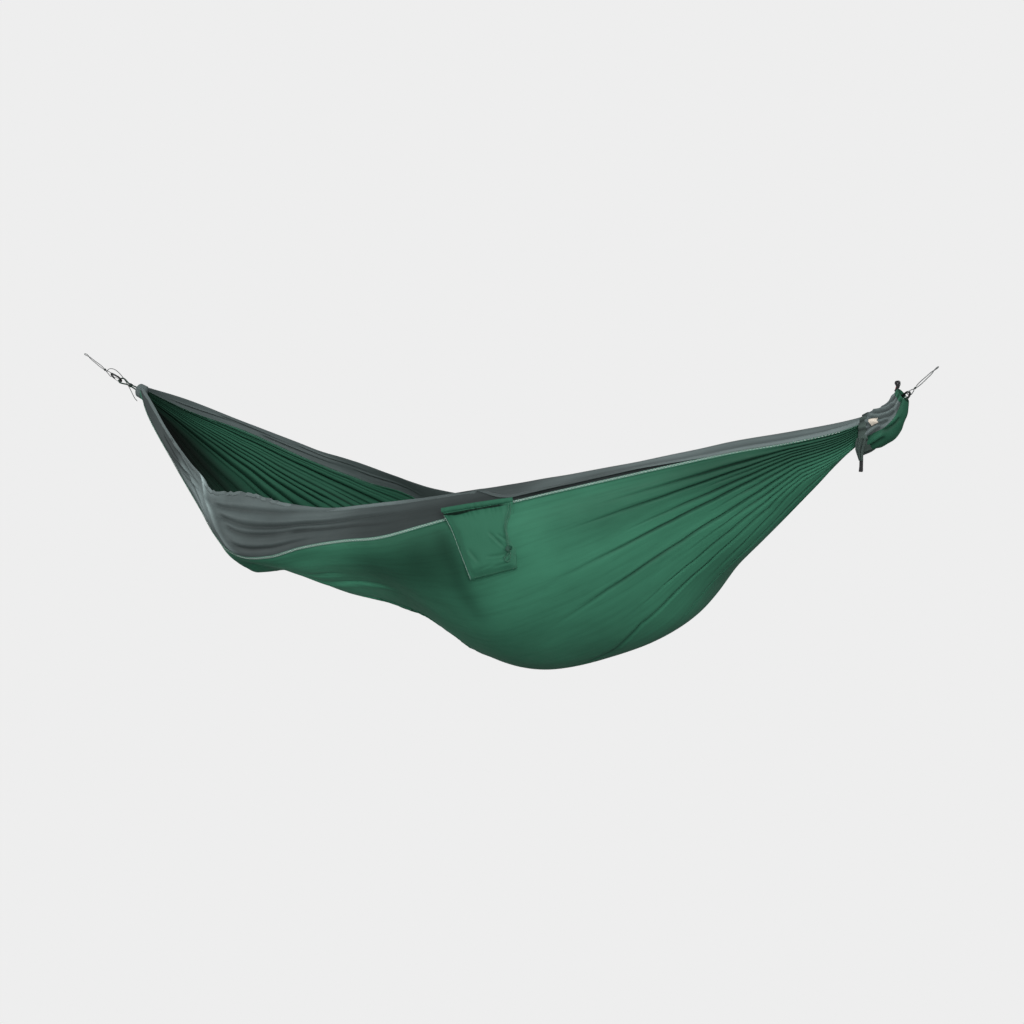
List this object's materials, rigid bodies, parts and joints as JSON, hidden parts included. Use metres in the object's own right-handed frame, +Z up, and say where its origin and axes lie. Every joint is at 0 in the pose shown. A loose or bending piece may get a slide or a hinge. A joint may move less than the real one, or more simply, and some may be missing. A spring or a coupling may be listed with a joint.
{
  "type": "camping hammock",
  "caption": "Gathered-end fabric hammock slung between two rope anchors, with seamed side strips, clip ends, a hanging stuff pocket with a cord lock and a storage sack on one end.",
  "frame": {"origin": "the turn of the left anchor rope's eye, where the hammock hangs from its left anchor", "axes": "+X runs level to the right anchor, +Z is up, and -Y is the near side, which carries the stuff pocket"},
  "size_m": [3.0124, 0.9495, 0.9219],
  "materials": {
    "green_nylon": "soft parachute nylon, dark green",
    "grey_nylon": "soft parachute nylon, slate grey",
    "pale_stitching": "dense pale green triple stitching",
    "grey_rope": "braided grey cord",
    "black_rope": "braided near-black cord",
    "black_metal": "black anodised bar",
    "steel_wire": "plain spring wire",
    "black_webbing": "woven webbing",
    "red_thread": "dense bar tack",
    "pale_patch": "plain woven label, blank",
    "green_plastic": "moulded matt plastic"
  },
  "bodies": {
    "anchors": {"left_anchor_rope": "grey_rope", "left_anchor_knot": "black_rope", "left_hook_eye": "grey_rope", "right_anchor_rope": "grey_rope", "right_anchor_knot": "black_rope", "right_hook_eye": "grey_rope"},
    "bed": {"centre_panel": "green_nylon", "near_side_panel": "grey_nylon", "far_side_panel": "grey_nylon", "near_rim_hem": "grey_nylon", "far_rim_hem": "grey_nylon", "near_seam_tape": "pale_stitching", "far_seam_tape": "pale_stitching", "left_end_channel": "grey_nylon", "right_end_channel": "grey_nylon", "left_end_loop": "black_rope", "right_end_loop": "black_rope", "left_loop_seizing": "black_rope", "right_loop_seizing": "black_rope", "left_carabiner_body": "black_metal", "right_carabiner_body": "black_metal", "left_guide_cord": "black_rope", "sack_upper_panel": "grey_nylon", "sack_lower_panel": "green_nylon", "sack_wrap_band": "grey_nylon", "sack_top_tab": "black_webbing", "sack_top_tack": "red_thread", "sack_patch": "pale_patch"},
    "left_gate": {"left_wire_gate": "steel_wire"},
    "right_gate": {"right_wire_gate": "steel_wire"},
    "pocket": {"pocket_back_panel": "green_nylon", "pocket_front_panel": "green_nylon", "pocket_hem_band": "green_nylon", "pocket_edge_binding": "pale_stitching", "pocket_drawcord": "black_rope"},
    "lock": {"cord_lock_body": "green_plastic"},
    "button": {"cord_lock_button": "green_plastic"},
    "tail": {"sack_tie_tail": "grey_nylon", "sack_tail_tab": "black_webbing"}
  },
  "joints": [
    {"name": "bed_swing", "type": "hinge", "parent": "anchors", "child": "bed", "pos_m": [0.12, 0, -0.07], "axis": [1, 0, 0], "range_deg": [-35, 35]},
    {"name": "left_gate_hinge", "type": "hinge", "parent": "bed", "child": "left_gate", "pos_m": [0.14852, 0.00849, -0.09036], "axis": [0.2592, 0.7071, 0.6579], "range_deg": [0, 25], "stiffness_Nm_per_rad": 0.05},
    {"name": "right_gate_hinge", "type": "hinge", "parent": "bed", "child": "right_gate", "pos_m": [2.91292, -0.00849, -0.09799], "axis": [-0.445, -0.7071, 0.5495], "range_deg": [0, 25], "stiffness_Nm_per_rad": 0.05},
    {"name": "pocket_flap", "type": "hinge", "parent": "bed", "child": "pocket", "pos_m": [1.772, -0.475, -0.394], "axis": [-0.9465, -0.2739, -0.1706], "range_deg": [0, 100]},
    {"name": "lock_slide", "type": "slide", "parent": "pocket", "child": "lock", "axis": [-0.1638, -0.0474, 0.9853], "range_m": [0, 0.045]},
    {"name": "lock_button", "type": "slide", "parent": "lock", "child": "button", "axis": [-0.2779, 0.9606, 0], "range_m": [0, 0.003], "stiffness_N_per_m": 500},
    {"name": "tail_swing", "type": "hinge", "parent": "bed", "child": "tail", "pos_m": [2.82, -0.046, -0.194], "axis": [1, 0, 0], "range_deg": [-25, 25]}
  ]
}
